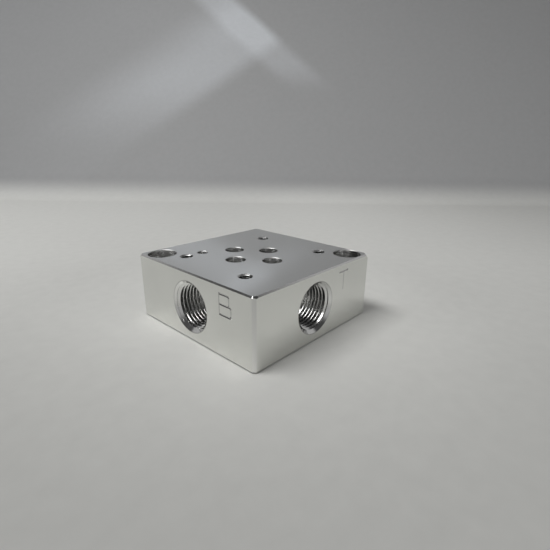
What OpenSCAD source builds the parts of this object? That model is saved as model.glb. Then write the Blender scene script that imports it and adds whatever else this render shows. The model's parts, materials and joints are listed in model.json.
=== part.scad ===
// Hydraulic valve subplate: one machined aluminium block with a size 03 valve face on top,
// a tapped pipe port on each side and two counterbored mounting holes.
// Millimetres, +Z up, origin at the centre of the bottom face.
// Port B opens on the -X side, T on -Y, A on +X and P on +Y.

/* [Block] */
// Width of the block along X
block_w = 63.5; // [60:0.5:90]
// Depth of the block along Y
block_d = 63.5; // [60:0.5:90]
// Height of the block
block_h = 25.4; // [24:0.2:40]
// Leg of the chamfer round the top and bottom faces
edge_chamfer = 0.5; // [0.2:0.1:1]
// Leg of the chamfer down each upright corner
corner_chamfer = 1; // [0.4:0.1:3]

/* [Valve face] */
// Shift of the valve pattern's centre from the block's centre along X
pattern_x = -0.75; // [-2:0.05:2]
// Shift of the valve pattern's centre from the block's centre along Y
pattern_y = -0.5; // [-2:0.05:2]
// Distance along X between the two rows of valve screws
bolt_span = 40.5; // [39:0.1:42]
// Distance along Y between the screws of the +X row
bolt_row_right = 31; // [30:0.1:32]
// Distance along Y between the screws of the -X row
bolt_row_left = 32.5; // [31.5:0.1:33.5]
// Distance along X from the +X screw row to port A
a_line = 12.7; // [12:0.1:13.5]
// Distance along X from the +X screw row to ports P and T
pt_line = 21.5; // [21:0.1:22]
// Distance along X from the +X screw row to port B
b_line = 30.2; // [29.5:0.1:31]
// Distance along X from the +X screw row to the locating pin
pin_line = 33; // [32:0.1:34]
// Distance along Y between ports P and T
pt_spacing = 20.8; // [20:0.1:22]
// Diameter of the valve ports
valve_port_d = 7.5; // [5:0.1:8]
// Leg of the chamfer that breaks each drilled rim
rim_chamfer = 0.15; // [0.1:0.05:0.5]

/* [Valve screws and locating pin] */
// Tapping drill of the valve screws' thread
bolt_tap_d = 4.2; // [3.5:0.1:5]
// Depth of that drill at full diameter
bolt_tap_depth = 14; // [8:0.5:18]
// Diameter of the chamfer at the mouth of that thread
bolt_mouth_d = 5.1; // [5.1:0.1:6.5]
// Diameter of the locating pin's hole
pin_d = 4; // [3:0.1:4.5]
// Depth of the locating pin's hole at full diameter
pin_depth = 5; // [4:0.5:8]

/* [Mounting screws] */
// Distance of each mounting hole's axis from the two nearest sides
screw_inset = 6.35; // [6.2:0.05:8]
// Clearance diameter for the screw's shank
screw_clear_d = 7.1; // [5:0.1:8]
// Diameter of the counterbore for the screw's head
counterbore_d = 10.8; // [9:0.1:11.2]
// Depth of that counterbore
counterbore_depth = 7; // [4:0.5:12]

/* [Side ports] */
// Height of the port axes above the base
port_z = 12.7; // [11:0.1:13.5]
// Place along Y of side ports A and B
ab_port_y = 0; // [-1:0.1:1]
// Diameter of the countersink at each port's mouth
port_mouth_d = 18.8; // [17:0.1:21]
// Tapping drill of the pipe thread
port_tap_d = 14.3; // [11:0.1:15.5]
// Depth of that drill at full diameter
port_tap_depth = 17; // [12:0.5:18]
// Diameter of the flow drilling from the tapped hole to the valve port
passage_d = 9; // [8:0.1:10.5]
// How far two drillings that meet run past each other's axis
meet_past = 1; // [0.5:0.1:2]

/* [Hidden] */
$fn = 96;
// Included angle of a drill's point
drill_point = 118;
// Height of a cutting tool above the face that it enters
clear_of_face = 1;
screw_x = block_w / 2 - screw_inset;
screw_y = block_d / 2 - screw_inset;
bolt_right_x = pattern_x + bolt_span / 2;
bolt_left_x = pattern_x - bolt_span / 2;
a_x = bolt_right_x - a_line;
b_x = bolt_right_x - b_line;
pt_x = bolt_right_x - pt_line;
p_y = pattern_y + pt_spacing / 2;
t_y = pattern_y - pt_spacing / 2;
pin_x = bolt_right_x - pin_line;
pin_y = pattern_y + bolt_row_left / 2;
valve_port_depth = block_h - port_z + meet_past;
valve_ports = [[pt_x, p_y], [a_x, pattern_y], [b_x, pattern_y], [pt_x, t_y]];
bolts = [
  for (end = [-1, 1]) [bolt_right_x, pattern_y + end * bolt_row_right / 2],
  for (end = [-1, 1]) [bolt_left_x, pattern_y + end * bolt_row_left / 2]
];

// Length of a drill's point that narrows from one diameter to another
function point_length(from_d, to_d = 0) = (from_d - to_d) / 2 / tan(drill_point / 2);

// A bar along Y whose section has the block's height and chamfered corners
module chamfered_bar(width, length) {
  side = width / 2;
  shoulder = side - edge_chamfer;
  rotate([90, 0, 0])
    linear_extrude(height = length, center = true)
      polygon([
        [-shoulder, 0],
        [shoulder, 0],
        [side, edge_chamfer],
        [side, block_h - edge_chamfer],
        [shoulder, block_h],
        [-shoulder, block_h],
        [-side, block_h - edge_chamfer],
        [-side, edge_chamfer]
      ]);
}

// The block before drilling: four bars crossed, so that every edge and upright corner is chamfered
module blank() {
  corner_to_corner = (block_w + block_d - 2 * corner_chamfer) / sqrt(2);
  bars = [[0, block_w], [90, block_d], [45, corner_to_corner], [-45, corner_to_corner]];
  intersection_for (bar = bars)
    rotate([0, 0, bar[0]])
      chamfered_bar(bar[1], block_w + block_d);
}

// Tool for a blind hole down from z = 0: chamfered rim, straight wall, drill point
module drill(d, depth, mouth_d) {
  rotate_extrude()
    polygon([
      [0, clear_of_face],
      [mouth_d / 2 + clear_of_face, clear_of_face],
      [d / 2, -(mouth_d - d) / 2],
      [d / 2, -depth],
      [0, -depth - point_length(d)]
    ]);
}

// Tool for a mounting hole through the block, with its counterbore and both rims broken
module screw_hole() {
  head = counterbore_d / 2;
  shank = screw_clear_d / 2;
  flare = rim_chamfer + clear_of_face;
  rotate_extrude()
    polygon([
      [0, clear_of_face],
      [head + flare, clear_of_face],
      [head, -rim_chamfer],
      [head, -counterbore_depth],
      [shank, -counterbore_depth],
      [shank, rim_chamfer - block_h],
      [shank + flare, -block_h - clear_of_face],
      [0, -block_h - clear_of_face]
    ]);
}

// Tool for a side port: countersunk mouth, tapping drill, then the flow drilling to the valve port
module side_port(to_valve_port) {
  reach = to_valve_port + meet_past;
  rotate_extrude()
    polygon([
      [0, clear_of_face],
      [port_mouth_d / 2 + clear_of_face, clear_of_face],
      [port_tap_d / 2, -(port_mouth_d - port_tap_d) / 2],
      [port_tap_d / 2, -port_tap_depth],
      [passage_d / 2, -port_tap_depth - point_length(port_tap_d, passage_d)],
      [passage_d / 2, -reach],
      [0, -reach - point_length(passage_d)]
    ]);
}

// All holes that are drilled down from the valve face
module top_drillings() {
  for (side = [-1, 1])
    translate([side * screw_x, -side * screw_y])
      screw_hole();
  for (place = bolts)
    translate(place)
      drill(bolt_tap_d, bolt_tap_depth, bolt_mouth_d);
  for (place = valve_ports)
    translate(place)
      drill(valve_port_d, valve_port_depth, valve_port_d + 2 * rim_chamfer);
  translate([pin_x, pin_y])
    drill(pin_d, pin_depth, pin_d + 2 * rim_chamfer);
}

// The four ports drilled in from the sides, each to the valve port of its letter
module side_drillings() {
  translate([block_w / 2, ab_port_y])
    rotate([0, 90, 0])
      side_port(block_w / 2 - a_x);
  translate([-block_w / 2, ab_port_y])
    rotate([0, -90, 0])
      side_port(block_w / 2 + b_x);
  translate([pt_x, block_d / 2])
    rotate([-90, 0, 0])
      side_port(block_d / 2 - p_y);
  translate([pt_x, -block_d / 2])
    rotate([90, 0, 0])
      side_port(block_d / 2 + t_y);
}

module subplate() {
  color([0.86, 0.86, 0.85])
    difference() {
      blank();
      translate([0, 0, block_h])
        top_drillings();
      translate([0, 0, port_z])
        side_drillings();
    }
}

subplate();
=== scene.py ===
import json
import math

import bpy
from mathutils import Matrix, Quaternion, Vector


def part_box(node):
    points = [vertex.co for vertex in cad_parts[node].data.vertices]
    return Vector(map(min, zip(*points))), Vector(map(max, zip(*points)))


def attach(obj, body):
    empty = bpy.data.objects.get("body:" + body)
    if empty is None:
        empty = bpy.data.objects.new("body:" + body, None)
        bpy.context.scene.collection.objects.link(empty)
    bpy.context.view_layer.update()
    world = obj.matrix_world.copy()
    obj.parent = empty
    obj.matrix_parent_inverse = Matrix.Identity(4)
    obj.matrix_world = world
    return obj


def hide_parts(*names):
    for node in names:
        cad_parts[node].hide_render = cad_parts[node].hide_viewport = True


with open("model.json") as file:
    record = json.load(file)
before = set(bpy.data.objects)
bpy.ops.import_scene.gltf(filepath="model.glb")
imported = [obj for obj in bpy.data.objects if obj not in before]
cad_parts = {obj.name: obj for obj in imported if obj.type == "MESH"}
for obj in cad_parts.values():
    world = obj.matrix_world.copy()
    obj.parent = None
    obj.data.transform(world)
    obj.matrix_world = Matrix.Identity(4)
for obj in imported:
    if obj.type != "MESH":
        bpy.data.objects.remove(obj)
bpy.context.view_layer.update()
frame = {"nodes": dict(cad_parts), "record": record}
mm = 0.001
weld = 0.002 * mm  # points closer than this are one point
mounts = {mount["name"]: mount for mount in frame["record"]["mounts"]}
blockLow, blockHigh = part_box("subplate")
print("frame loaded, block reaches from", tuple(blockLow), "to", tuple(blockHigh))


# Helpers for working on one object at a time

def selectOnly(piece):
    bpy.ops.object.select_all(action="DESELECT")
    piece.select_set(True)
    bpy.context.view_layer.objects.active = piece


def editAll(piece):
    selectOnly(piece)
    bpy.ops.object.mode_set(mode="EDIT")
    bpy.ops.mesh.select_mode(type="VERT")
    bpy.ops.mesh.select_all(action="SELECT")


def editPart(piece, kind, wanted):
    editAll(piece)
    bpy.ops.mesh.select_mode(type=kind)
    bpy.ops.mesh.select_all(action="DESELECT")
    leaveEdit()
    parts = piece.data.polygons if kind == "FACE" else piece.data.edges
    for part in parts:
        part.select = wanted(part)
    bpy.ops.object.mode_set(mode="EDIT")


def leaveEdit():
    bpy.ops.object.mode_set(mode="OBJECT")


def trimOff(spot, way):  # in edit mode, cuts off what lies beyond a plane and closes the cut
    bpy.ops.mesh.select_all(action="SELECT")
    bpy.ops.mesh.bisect(
        plane_co=spot, plane_no=way, use_fill=True, clear_outer=True, threshold=weld / 10
    )


def placeTool(tool, spot, along, out):  # tool's X runs along, its Z points out
    turn = Matrix((along, out.cross(along), out)).transposed().to_4x4()
    tool.matrix_world = Matrix.Translation(spot) @ turn
    selectOnly(tool)
    bpy.ops.object.transform_apply(location=True, rotation=True, scale=True)


def copyOf(piece):
    selectOnly(piece)
    bpy.ops.object.duplicate()
    return bpy.context.object


def cutAway(piece, tool):  # the cut faces take the tool's finish
    cut = piece.modifiers.new("cut", "BOOLEAN")
    cut.operation = "DIFFERENCE"
    cut.solver = "EXACT"
    cut.material_mode = "TRANSFER"
    cut.object = tool
    selectOnly(piece)
    bpy.ops.object.modifier_apply(modifier=cut.name)
    bpy.data.objects.remove(tool)


def onFace(spot, out):  # where the axis through spot leaves the block
    side = [high if way > 0 else low for low, high, way in zip(blockLow, blockHigh, out)]
    return Vector([edge if abs(way) > 0.5 else at for at, edge, way in zip(spot, side, out)])


def crosswise(out):  # a level direction square to out, to the right as seen from outside
    return Vector((0, 0, 1)).cross(out) if abs(out.z) < 0.5 else Vector((1, 0, 0))


# Shader maths as plain expressions

class Wire:
    def __init__(self, tree, socket=None):
        self.tree = tree
        self.socket = socket

    def node(self, kind, settings, inputs, output=0):
        made = self.tree.nodes.new("ShaderNode" + kind)
        for name, value in settings.items():
            setattr(made, name, value)
        for name, value in inputs.items():
            if isinstance(value, Wire):
                self.tree.links.new(value.socket, made.inputs[name])
            else:
                made.inputs[name].default_value = value
        return Wire(self.tree, made.outputs[output])

    def maths(self, operation, first, second=0.0):
        return self.node("Math", {"operation": operation}, {0: first, 1: second})

    def feed(self, socket):
        self.tree.links.new(self.socket, socket)

    def __add__(self, other):
        return self.maths("ADD", self, other)

    def __radd__(self, other):
        return self.maths("ADD", other, self)

    def __sub__(self, other):
        return self.maths("SUBTRACT", self, other)

    def __rsub__(self, other):
        return self.maths("SUBTRACT", other, self)

    def __mul__(self, other):
        return self.maths("MULTIPLY", self, other)

    def __rmul__(self, other):
        return self.maths("MULTIPLY", other, self)

    def __pow__(self, other):
        return self.maths("POWER", self, other)

    def ease(self, start, end, first=0.0, last=1.0):  # a soft step from first to last
        return self.node(
            "MapRange",
            {"interpolation_type": "SMOOTHSTEP"},
            {"Value": self, "From Min": start, "From Max": end, "To Min": first, "To Max": last},
        )

    def blend(self, share, first, second):  # colours with alpha, or links
        return self.node("Mix", {"data_type": "RGBA"}, {0: share, 6: first, 7: second}, 2)

    def scaled(self, colour, gain):  # a colour of three numbers, or a link
        return self.node("VectorMath", {"operation": "SCALE"}, {0: colour, "Scale": gain})


def newMaterial(name):
    material = bpy.data.materials.new(name)
    material.use_nodes = True
    return material, Wire(material.node_tree), material.node_tree.nodes["Principled BSDF"].inputs


# Finishes of the metal

milledFinish = {
    "endColour": (0.88, 0.885, 0.88, 1),
    # painted shade: the sides get a darker, warmer copy of the ends' colour
    "shadedSideColour": (0.825, 0.83, 0.8),
    "sideShadeTone": 0.965,
    "roughness": 0.13,
    "cutterRadius": 45,  # millimetres
    "lines": 5,  # tool marks in a millimetre
    "markHeight": 0.0003 * mm,
    "markRoughness": 0.06,  # how far the tool marks vary the roughness
    "blotchScale": 60.0,
    "blotchRoughness": 0.05,
    "blotchTone": 0.1,
    "rimRadius": 9.4,  # millimetres, of the countersunk mouths
    "rimShadeWidth": 0.35,  # width of the dark ring of painted shade round a countersunk mouth
    # tone of that painted shade at its darkest
    "rimShadeTone": 0.45,
}


def milledMaterial(name, along, across, port=None):  # port is the mount that opens on these sides
    material, wire, shader = newMaterial(name)
    place = wire.node("TexCoord", {}, {}, "Object")
    spot = [wire.node("SeparateXYZ", {}, {0: place}, axis) * (1 / mm) for axis in "XYZ"]
    arc = spot[along] - (milledFinish["cutterRadius"] ** 2 - spot[across] * spot[across]) ** 0.5
    marks = wire.node(
        "TexNoise", {"noise_dimensions": "1D"}, {"W": arc * milledFinish["lines"], "Detail": 3.0}
    )
    blotch = wire.node(
        "TexNoise", {}, {"Vector": place, "Scale": milledFinish["blotchScale"], "Detail": 4.0}
    )
    bump = wire.node(
        "Bump", {}, {"Height": marks * milledFinish["markHeight"], "Distance": 1.0, "Strength": 1.0}
    )
    bump.feed(shader["Normal"])
    roughness = milledFinish["roughness"] + milledFinish["blotchRoughness"] * (blotch - 0.5)
    roughness += milledFinish["markRoughness"] * (marks - 0.5)
    roughness.feed(shader["Roughness"])
    shader["Metallic"].default_value = 1
    if port is None:
        shader["Base Color"].default_value = milledFinish["endColour"]
        return material
    aside, above = [spot[axis] - mounts[port]["pos_m"][axis] / mm for axis in (along, across)]
    fromAxis = (aside * aside + above * above) ** 0.5
    rim = milledFinish["rimRadius"]
    # painted shade: a dark ring just outside each countersunk mouth
    rimShade = fromAxis.ease(rim, rim + milledFinish["rimShadeWidth"], 1, 0)
    tone = 1 - (1 - milledFinish["rimShadeTone"]) * rimShade
    # the sides' mean tone is painted shade; the blotches vary at random
    tone *= milledFinish["sideShadeTone"] + milledFinish["blotchTone"] * (blotch - 0.5)
    wire.scaled(milledFinish["shadedSideColour"], tone).feed(shader["Base Color"])
    return material


cutFinish = {  # tone, roughness and height of the tool's rings
    "brokenEdges": (0.84, 0.15, 0),
    # painted shade: the bottom edges are darkened to stand in for the contact shadow under the block
    "shadedBaseEdges": (0.3, 0.35, 0),
    "drilledRims": (0.62, 0.4, 0),
    "boredWalls": (0.66, 0.2, 0.05 * mm),
    "drilledFloors": (0.6, 0.3, 0),
    "tappedThreads": (0.76, 0.16, 0),
    # painted shade: the screw threads are darkened so that the bolt holes look dark
    "shadedScrewThreads": (0.3, 0.2, 0),
    "stampedGrooves": (0.65, 0.18, 0),
}
cutMarks = {
    "rings": 8,  # in a millimetre of a bore's depth
    "blotchScale": 500.0,
    "blotchRoughness": 0.08,
    "blueShare": 0.985,  # of the red and green, so that cut metal looks a little warm
}


def cutMaterial(name):
    material, wire, shader = newMaterial(name)
    tone, roughness, ringHeight = cutFinish[name]
    place = wire.node("TexCoord", {}, {}, "Object")
    blotch = wire.node(
        "TexNoise", {}, {"Vector": place, "Scale": cutMarks["blotchScale"], "Detail": 3.0}
    )
    shader["Base Color"].default_value = (tone, tone, tone * cutMarks["blueShare"], 1)
    shader["Metallic"].default_value = 1
    uneven = roughness + cutMarks["blotchRoughness"] * (blotch - 0.5)
    uneven.feed(shader["Roughness"])
    if ringHeight:
        depth = wire.node("SeparateXYZ", {}, {0: place}, "Z") * (cutMarks["rings"] / mm)
        rings = wire.node("TexNoise", {"noise_dimensions": "1D"}, {"W": depth, "Detail": 2.0})
        bump = wire.node("Bump", {}, {"Height": rings * ringHeight, "Distance": 1.0, "Strength": 1.0})
        bump.feed(shader["Normal"])
    return material


finishes = [
    milledMaterial("milledEnds", 0, 1),
    milledMaterial("milledSidesX", 1, 2, "side_port_b"),
    milledMaterial("milledSidesY", 0, 2, "side_port_t"),
]
finishes += [cutMaterial(name) for name in cutFinish]
finishNames = [material.name for material in finishes]
print("finishes made:", ", ".join(finishNames))


# The block: a merged copy of the solid, for the stamps and taps to cut

blockSet = {
    "flatAngle": 0.1,  # degrees, up to which neighbouring faces become one
    "smoothAngle": 28,  # degrees, up to which an edge is shaded smooth
    "wornCorners": [  # each corner and the length lost along the edges that meet there
        ((blockHigh[0], blockLow[1], blockHigh[2]), (2.6 * mm, -2.5 * mm, 2.6 * mm)),
        ((blockLow[0], blockLow[1], blockHigh[2]), (-3.8 * mm, -1.05 * mm, 0.9 * mm)),
    ],
    "reach": {  # how deep below a side its faces and small cuts lie
        "faces": 0.01 * mm,
        "edges": 0.6 * mm,
        "corners": 1.3 * mm,
        "rims": 0.6 * mm,
        "mouths": 1.3 * mm,
    },
}


def finishOf(face):
    reach = blockSet["reach"]
    depths = [
        min(abs(at - low), abs(high - at))
        for at, low, high in zip(face.center, blockLow, blockHigh)
    ]
    for name, axis in (("milledEnds", 2), ("milledSidesX", 0), ("milledSidesY", 1)):
        if abs(face.normal[axis]) > 0.99 and depths[axis] < reach["faces"]:
            return name
    onEdge = sum(depth < reach["edges"] for depth in depths) > 1
    if onEdge or max(depths[:2]) < reach["corners"]:
        # the bottom edges take the finish of painted contact shadow
        atBase = face.center.z < blockLow[2] + reach["edges"]
        return "shadedBaseEdges" if atBase else "brokenEdges"
    if depths[2] < reach["rims"]:
        return "drilledRims"
    if min(depths[:2]) < reach["mouths"]:
        return "brokenEdges"
    return "boredWalls" if abs(face.normal.z) < 0.05 else "drilledFloors"


block = bpy.data.objects.new("subplateBlock", frame["nodes"]["subplate"].data.copy())
bpy.context.collection.objects.link(block)
selectOnly(block)
bpy.ops.mesh.customdata_custom_splitnormals_clear()
editAll(block)
bpy.ops.mesh.remove_doubles(threshold=weld)
bpy.ops.mesh.dissolve_limited(angle_limit=math.radians(blockSet["flatAngle"]))
for corner, lost in blockSet["wornCorners"]:
    belowCorner = Vector(corner) - Vector((0, 0, lost[2]))
    trimOff(belowCorner, Vector([1 / length for length in lost]).normalized())
leaveEdit()
block.data.materials.clear()
for material in finishes:
    block.data.materials.append(material)
for face in block.data.polygons:
    face.material_index = finishNames.index(finishOf(face))
print("block copied,", len(block.data.polygons), "faces")


# Port letters, stamped beside the side ports as narrow grooves

letterStamp = {
    "height": 7 * mm,
    "width": 5.6 * mm,
    "base": 15.4 * mm,  # height of the letters' foot above the bottom of the block
    "offset": {  # to the right of the side's middle
        "A": 18.8 * mm,
        "B": 18.8 * mm,
        "P": 14.2 * mm,
        "T": 14.2 * mm,
    },
    "groove": 0.75 * mm,
    "depth": 0.3 * mm,
    "floor": 0.2,  # width of the groove's floor as a share of the tool's top
    "uprights": 0.6,  # upright strokes are struck lighter
    "steep": 0.95,  # a stroke that rises this share of its length is upright
    "strokes": {  # corners of each stroke, as shares of the letter's width and height
        "A": [[(0, 0), (0.5, 1), (1, 0)], [(0.2, 0.36), (0.8, 0.36)]],
        "B": [
            [(0, 0), (0, 1), (0.76, 1), (0.84, 0.93), (0.84, 0.57), (0.76, 0.5), (0, 0.5)],
            [(0.76, 0.5), (0.92, 0.5), (1, 0.43), (1, 0.07), (0.92, 0), (0, 0)],
        ],
        "P": [[(0, 0), (0, 1), (0.84, 1), (1, 0.88), (1, 0.6), (0.84, 0.48), (0, 0.48)]],
        "T": [[(0, 1), (1, 1)], [(0.5, 1), (0.5, 0)]],
    },
}


def strokeTool(length, weight):  # its lower half goes into the metal
    groove = letterStamp["groove"] * weight
    top = 2 * groove / (1 + letterStamp["floor"])
    endRun = groove / 2
    bpy.ops.object.select_all(action="DESELECT")
    bpy.ops.mesh.primitive_cube_add(size=1)
    tool = bpy.context.object
    editAll(tool)
    bpy.ops.transform.resize(value=(length + endRun, top, 2 * letterStamp["depth"] * weight))
    leaveEdit()
    editPart(tool, "FACE", lambda face: face.normal.z < -0.5)
    bpy.ops.transform.resize(value=(1 - endRun / length, letterStamp["floor"], 1))
    leaveEdit()
    tool.data.materials.append(bpy.data.materials["stampedGrooves"])
    return tool


def stampLetter(letter):
    out = Vector(mounts["side_port_" + letter.lower()]["axis"])
    right = crosswise(out)
    foot = onFace((0, 0, letterStamp["base"]), out) + right * letterStamp["offset"][letter]
    for stroke in letterStamp["strokes"][letter]:
        corners = []
        for across, up in stroke:
            rise = Vector((0, 0, up * letterStamp["height"]))
            corners.append(foot + right * (across - 0.5) * letterStamp["width"] + rise)
        for start, end in zip(corners, corners[1:]):
            run = end - start
            upright = abs(run.z) > letterStamp["steep"] * run.length
            tool = strokeTool(run.length, letterStamp["uprights"] if upright else 1)
            placeTool(tool, (start + end) / 2, run.normalized(), out)
            cutAway(block, tool)


for letter in letterStamp["strokes"]:
    stampLetter(letter)
print("letters stamped,", len(block.data.polygons), "faces")


# Threads, cut by a helical tap for the pipe ports and a smaller one for the valve screws

pipeThread = {
    "pitch": 25.4 / 18 * mm,
    "finish": "tappedThreads",
    "rootRadius": 8.85 * mm,  # at the face of the block
    "rootRound": 0.06 * mm,
    "crestFlat": 0.05 * mm,
    "crestRound": 0.07 * mm,
    "taper": 1 / 32,  # loss of radius over depth
    "fullDepth": 11 * mm,
    "runOut": 3 * mm,
    "runOutSlope": 0.42,
    "standOff": 1 * mm,  # length of tool left outside the block
    "steps": 84,  # around one turn
    "start": {"side_port_b": -158, "side_port_t": 115},  # degrees turned about the port's axis
}
screwThread = {
    "pitch": 0.8 * mm,
    "finish": "shadedScrewThreads",
    "rootRadius": 2.55 * mm,
    "rootRound": 0.07 * mm,
    "crestFlat": 0.12 * mm,
    "crestRound": 0.1 * mm,
    "taper": 0,
    "fullDepth": 10 * mm,
    "runOut": 1.6 * mm,
    "runOutSlope": 0.34,
    "standOff": 0.5 * mm,
    "steps": 40,
}
flankTurn = 60  # degrees between a flank and the tool's axis
turnSteps = 3  # facets from a flank to the level of a crest or root
spareTurns = 2  # turns of the helix that are trimmed off below a tap


def roundedTurn(radius, first, last):  # steps outward and upward round an arc
    bend = (last - first) / turnSteps
    chord = 2 * radius * math.sin(math.radians(abs(bend)) / 2)
    headings = [math.radians(first + bend * (step + 0.5)) for step in range(turnSteps)]
    return [(chord * math.sin(heading), chord * math.cos(heading)) for heading in headings]


def threadSection(thread):  # one pitch of steps outward and upward, starting up a flank
    root = roundedTurn(thread["rootRound"], flankTurn, 0)
    root += roundedTurn(thread["rootRound"], 0, -flankTurn)
    crest = roundedTurn(thread["crestRound"], -flankTurn, 0) + [(0, thread["crestFlat"])]
    crest += roundedTurn(thread["crestRound"], 0, flankTurn)
    rise = (thread["pitch"] - sum(up for out, up in root + crest)) / 2
    reach = rise * math.tan(math.radians(flankTurn))
    return [(reach, rise)] + root + [(-reach, rise)] + crest


def makeTap(thread):
    pitch = thread["pitch"]
    depth = thread["fullDepth"] + thread["runOut"]
    section = threadSection(thread)
    toRoot = sum(out for out, up in section[: 1 + turnSteps])
    bpy.ops.object.select_all(action="DESELECT")
    bpy.ops.mesh.primitive_plane_add(size=pitch)
    tap = bpy.context.object
    editAll(tap)
    bpy.ops.mesh.merge(type="CENTER")
    bpy.ops.transform.translate(value=(thread["rootRadius"] - toRoot, 0, -depth - spareTurns * pitch))
    for out, up in section:
        bpy.ops.mesh.extrude_vertices_move(TRANSFORM_OT_translate={"value": (out, 0, up)})
    leaveEdit()
    helix = tap.modifiers.new("helix", "SCREW")
    helix.axis = "Z"
    helix.screw_offset = pitch
    helix.iterations = math.ceil((depth + thread["standOff"]) / pitch) + spareTurns + 1
    helix.steps = thread["steps"]
    helix.render_steps = thread["steps"]
    bpy.ops.object.modifier_apply(modifier=helix.name)
    editAll(tap)
    bpy.ops.mesh.remove_doubles(threshold=weld)
    for height, way in ((thread["standOff"], 1), (-depth, -1)):
        trimOff((0, 0, height), (0, 0, way))
    bpy.ops.mesh.select_all(action="SELECT")
    bpy.ops.mesh.normals_make_consistent(inside=False)
    leaveEdit()
    for point in tap.data.vertices:
        down = -point.co.z
        narrower = down * thread["taper"] + max(0, down - thread["fullDepth"]) * thread["runOutSlope"]
        radius = math.hypot(point.co.x, point.co.y)
        point.co.x *= 1 - narrower / radius
        point.co.y *= 1 - narrower / radius
    tap.data.materials.append(bpy.data.materials[thread["finish"]])
    return tap


def tapHole(tap, spot, out, start=0):
    tool = copyOf(tap)
    along = Quaternion(out, math.radians(start)) @ crosswise(out)
    placeTool(tool, onFace(spot, out), along, out)
    cutAway(block, tool)


pipeTap = makeTap(pipeThread)
screwTap = makeTap(screwThread)
for name, mount in mounts.items():
    spot = Vector(mount["pos_m"])
    out = Vector(mount["axis"])
    if name.startswith("side_port"):
        tapHole(pipeTap, spot, out, pipeThread["start"].get(name, 0))
    elif name.startswith("valve_screws"):
        half = Vector((0, mount["dims"]["spacing_y_mm"] / 2 * mm, 0))
        tapHole(screwTap, spot - half, out)
        tapHole(screwTap, spot + half, out)
bpy.data.objects.remove(pipeTap)
bpy.data.objects.remove(screwTap)
selectOnly(block)
bpy.ops.object.shade_smooth_by_angle(angle=math.radians(blockSet["smoothAngle"]))
flatten = block.modifiers.new("flatten", "WEIGHTED_NORMAL")  # thread flanks shade flat
flatten.keep_sharp = True
bpy.ops.object.modifier_apply(modifier=flatten.name)
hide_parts("subplate")
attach(block, "root")
print("threads cut and block finished,", len(block.data.polygons), "faces")


# Camera, set as the photograph was taken

cameraSet = {
    "spot": (-102.45 * mm, -104.77 * mm, 67.92 * mm),
    "heading": 47.38,  # degrees from +Y towards +X
    "pitch": -19.33,
    "roll": 0.65,
    "lens": 25.53,
    "sensor": 36,
    "nearest": 10 * mm,
    "farthest": 10,
}

bpy.ops.object.camera_add(location=cameraSet["spot"])
camera = bpy.context.object
camera.data.lens = cameraSet["lens"]
camera.data.sensor_width = cameraSet["sensor"]
camera.data.clip_start = cameraSet["nearest"]
camera.data.clip_end = cameraSet["farthest"]
camera.rotation_euler = (
    Matrix.Rotation(math.radians(-cameraSet["heading"]), 3, "Z")
    @ Matrix.Rotation(math.radians(90 + cameraSet["pitch"]), 3, "X")
    @ Matrix.Rotation(math.radians(cameraSet["roll"]), 3, "Z")
).to_euler()
bpy.context.scene.camera = camera
print("camera set")


# Floor and backdrop: one pale sheet that sweeps up behind the block

sheetSet = {
    "width": 0.95,
    "front": 0.6,  # from the camera back towards the viewer
    "wall": 0.462,  # from the camera to the foot of the wall
    "wallHeight": 0.6,
    "lean": 0.75,  # how far the wall leans back for each metre of height
    "sweep": 0.034,
    "sweepSteps": 16,
    "smoothAngle": 40,  # degrees
    "roughness": 0.9,
    "floorColour": (0.74, 0.74, 0.71),
    "wallColour": (0.385, 0.387, 0.39, 1),
    "poolColour": (0.64, 0.66, 0.685, 1),  # of the pool of light on the wall
    "poolEdges": [  # upper and lower: a point on it and the way across it, right and up
        ((-0.015, 0.213), (0.68, 0.733)),
        ((-0.056, 0.148), (0.6, -0.8)),
    ],
    "weaveScale": 180.0,
    "weaveTone": 0.1,
    "steps": {  # soft changes of tone, most of them painted light and shade: where each starts and ends, in metres, and the tones there
        "poolFoot": (-0.015, 0.012, 0.57, 0),  # across the lower edge
        "poolTail": (-0.12, -0.04, 0.1, 1),
        "poolHead": (-0.012, 0.006, 1, 0),  # across the upper edge
        "bandEdge": (-0.05, -0.03, 0, 0.4),  # a brighter band along the upper edge
        "bandFoot": (0.12, 0.165, 0, 1),
        "poolLow": (0.04, 0.15, 0.1, 1),
        "poolHigh": (0.18, 0.215, 1, 1.25),
        # painted shade: the wall darkens towards its left end
        "wallShadeLeft": (-0.36, -0.1, 0.88, 1),
        "wallFoot": (-0.005, 0.022, 0, 1),  # from the floor's tone to the wall's
        # painted light and shade on the floor: brighter round the block, right of the middle and
        # towards the back, darker at the far right
        "lightAroundBlock": (0.05, 0.105, 1.04, 0.93),
        "floorLightRightOfMiddle": (-0.08, 0.06, 0.98, 1.09),
        "floorShadeFarRight": (0.05, 0.3, 1, 0.85),
        "floorLightBack": (0.1, 0.24, 1.02, 1.26),
        # painted shade near the viewer and painted light far off
        "shadeNearViewer": (0.03, 0.15, 0.8, 1),
        "far": (0.2, 0.42, 1, 1.08),
    },
}


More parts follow.
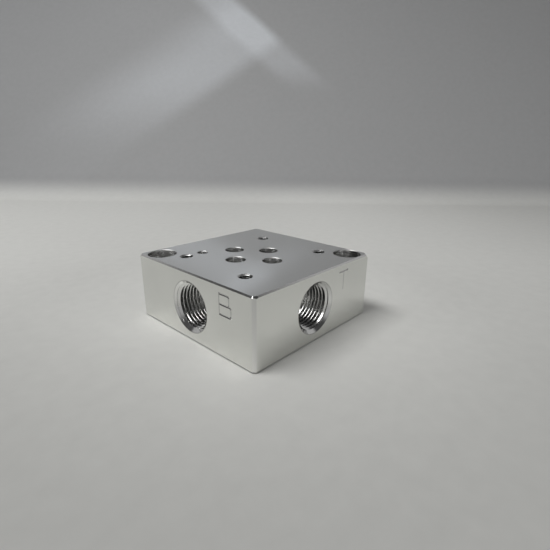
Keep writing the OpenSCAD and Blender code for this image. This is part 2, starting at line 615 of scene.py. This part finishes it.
def clothMaterial():
    material, wire, shader = newMaterial("paleCloth")
    steps = sheetSet["steps"]
    place = wire.node("TexCoord", {}, {}, "Object")
    x, y, height = [wire.node("SeparateXYZ", {}, {0: place}, axis) for axis in "XYZ"]
    heading = math.radians(cameraSet["heading"])
    sideways = Vector((math.cos(heading), -math.sin(heading), 0))  # along the wall
    forward = Vector((math.sin(heading), math.cos(heading), 0))
    right, ahead = [
        x * way.x + y * way.y - way.dot(Vector(cameraSet["spot"])) for way in (sideways, forward)
    ]
    above, below = [
        (right - edge[0]) * across[0] + (height - edge[1]) * across[1]
        for edge, across in sheetSet["poolEdges"]
    ]
    pool = below.ease(*steps["poolFoot"]) * below.ease(*steps["poolTail"])
    pool += above.ease(*steps["bandEdge"]) * height.ease(*steps["bandFoot"])
    pool *= above.ease(*steps["poolHead"])
    pool *= height.ease(*steps["poolLow"]) * height.ease(*steps["poolHigh"])
    lightWall = wire.blend(pool, sheetSet["wallColour"], sheetSet["poolColour"])
    # painted shade: the wall darkens towards its left end
    wall = wire.scaled(lightWall, right.ease(*steps["wallShadeLeft"]))
    # painted light and shade on the floor
    floorLightAndShade = ((x * x + y * y) ** 0.5).ease(*steps["lightAroundBlock"])
    floorLightAndShade *= right.ease(*steps["floorLightRightOfMiddle"]) * right.ease(*steps["floorShadeFarRight"])
    floorLightAndShade *= ahead.ease(*steps["floorLightBack"])
    floor = wire.scaled(sheetSet["floorColour"], floorLightAndShade)
    cloth = wire.blend(height.ease(*steps["wallFoot"]), floor, wall)
    weave = wire.node(
        "TexNoise", {}, {"Vector": place, "Scale": sheetSet["weaveScale"], "Detail": 4.0}
    )
    # painted shade towards the viewer and painted light far off; the weave varies at random
    tone = ahead.ease(*steps["shadeNearViewer"]) * ahead.ease(*steps["far"])
    tone *= 1 + sheetSet["weaveTone"] * (weave - 0.5)
    wire.scaled(cloth, tone).feed(shader["Base Color"])
    shader["Roughness"].default_value = sheetSet["roughness"]
    return material


def makeSheet():
    bpy.ops.object.select_all(action="DESELECT")
    bpy.ops.mesh.primitive_plane_add(size=1)
    sheet = bpy.context.object
    sheet.name = "backdropSheet"
    editAll(sheet)
    depth = sheetSet["front"] + sheetSet["wall"]
    bpy.ops.transform.resize(value=(sheetSet["width"], depth, 1))
    bpy.ops.transform.translate(value=(0, sheetSet["wall"] - depth / 2, 0))
    leaveEdit()

    def atCrease(edge):
        ends = [sheet.data.vertices[number].co for number in edge.vertices]
        return all(end.y > sheetSet["wall"] - mm and end.z < mm for end in ends)

    editPart(sheet, "EDGE", atCrease)
    rise = Vector((0, sheetSet["lean"], 1)) * sheetSet["wallHeight"]
    bpy.ops.mesh.extrude_edges_move(TRANSFORM_OT_translate={"value": rise})
    leaveEdit()
    editPart(sheet, "EDGE", atCrease)
    bpy.ops.mesh.bevel(offset=sheetSet["sweep"], segments=sheetSet["sweepSteps"], profile=0.5)
    leaveEdit()
    sheet.rotation_euler.z = math.radians(-cameraSet["heading"])
    sheet.location = (cameraSet["spot"][0], cameraSet["spot"][1], 0)
    selectOnly(sheet)
    bpy.ops.object.transform_apply(location=True, rotation=True, scale=True)
    bpy.ops.object.shade_smooth_by_angle(angle=math.radians(sheetSet["smoothAngle"]))
    sheet.data.materials.append(clothMaterial())


makeSheet()
print("sheet laid")


# Light: a long soft panel and a small one overhead, two low at the sides and a dim room

lightSet = {
    "panels": [  # place, width, length, power, turn in degrees
        ((-0.333, 0.188, 0.781), 0.27, 0.5, 3.5, -54),
        ((-0.25, -0.23, 0.8), 0.2, 0.2, 0.35, 0),
        ((-0.724, 0.253, 0.233), 0.25, 0.25, 0.85, 0),
        ((0.09, -0.77, 0.18), 0.25, 0.25, 0.9, 0),
    ],
    "room": 0.05,
    "behind": 0.3,  # extra light from behind the viewer
    "behindWay": (-0.72, -0.69, 0),
    "behindEdge": (0.55, 0.92),
    "beyond": 0.32,  # pale walls on the far side
    "beyondWay": (0.736, 0.677, 0),
    "beyondEdge": (0.05, 0.25),
    "upward": (-0.061, 0.066, 1),  # they stand a little higher on the right
    "topEdge": (0.5, 0.66),
}

for spot, width, length, power, turn in lightSet["panels"]:
    bpy.ops.object.light_add(type="AREA", location=spot)
    panel = bpy.context.object
    panel.data.shape = "RECTANGLE"
    panel.data.size = width
    panel.data.size_y = length
    panel.data.energy = power
    facing = Vector(spot).to_track_quat("Z", "Y") @ Quaternion((0, 0, 1), math.radians(turn))
    panel.rotation_euler = facing.to_euler()

world = bpy.data.worlds.new("dimRoom")
bpy.context.scene.world = world
world.use_nodes = True
room = Wire(world.node_tree)
outward = room.node("TexCoord", {}, {}, "Generated")


def towards(way):  # 1 straight that way, 0 square to it
    return room.node("VectorMath", {"operation": "DOT_PRODUCT"}, {0: outward, 1: way}, "Value")


behind = towards(lightSet["behindWay"]).ease(*lightSet["behindEdge"], 0, lightSet["behind"])
beyond = towards(lightSet["beyondWay"]).ease(*lightSet["beyondEdge"], 0, lightSet["beyond"])
beyond *= towards(lightSet["upward"]).ease(*lightSet["topEdge"], 1, 0)
glow = lightSet["room"] + behind + beyond
background = world.node_tree.nodes["Background"].inputs
glow.feed(background["Strength"])
background["Color"].default_value = (1, 1, 1, 1)

bpy.context.scene.view_settings.view_transform = "Standard"
print("lights and room set")
